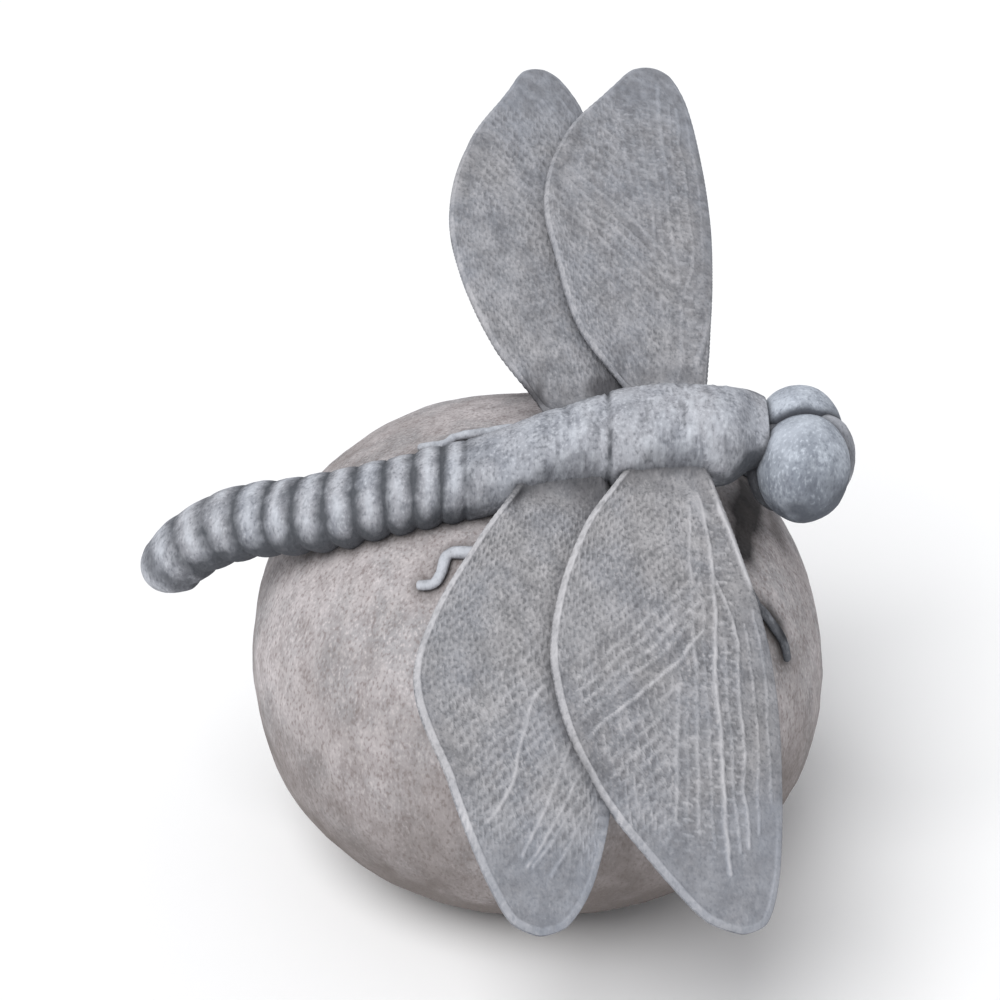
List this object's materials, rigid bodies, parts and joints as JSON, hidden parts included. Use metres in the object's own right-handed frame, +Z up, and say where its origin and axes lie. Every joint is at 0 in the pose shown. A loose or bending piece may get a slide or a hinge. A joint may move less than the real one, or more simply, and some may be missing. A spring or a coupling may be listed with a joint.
{
  "type": "cast stone dragonfly garden ornament",
  "caption": "Garden ornament cast in grey stone: a dragonfly with raised, veined wings and a ringed abdomen clings to a rounded boulder with a flat underside.",
  "frame": {"origin": "on the ground, below the middle of the whole ornament's box", "axes": "+Z up from the boulder's flat underside, +X towards the dragonfly's head, +Y towards its left side, whose wings are raised"},
  "size_m": [0.181, 0.2092, 0.197],
  "materials": {
    "boulder_stone": "matte",
    "dragonfly_stone": "matte",
    "wing_stone": "matte",
    "eye_stone": "matte"
  },
  "bodies": {
    "root": {"boulder": "boulder_stone", "neck": "dragonfly_stone", "thorax_front": "dragonfly_stone", "thorax_rear": "dragonfly_stone", "abdomen_base": "dragonfly_stone", "abdomen_1": "dragonfly_stone", "abdomen_2": "dragonfly_stone", "abdomen_3": "dragonfly_stone", "abdomen_4": "dragonfly_stone", "eye_left": "eye_stone", "eye_right": "eye_stone", "head": "dragonfly_stone", "face": "dragonfly_stone", "wing_fore_left": "wing_stone", "wing_fore_right": "wing_stone", "wing_hind_left": "wing_stone", "wing_hind_right": "wing_stone", "leg_fore_left": "dragonfly_stone", "leg_mid_left": "dragonfly_stone", "leg_hind_left": "dragonfly_stone", "leg_fore_right": "dragonfly_stone", "leg_mid_right": "dragonfly_stone", "leg_hind_right": "dragonfly_stone"}
  },
  "joints": []
}
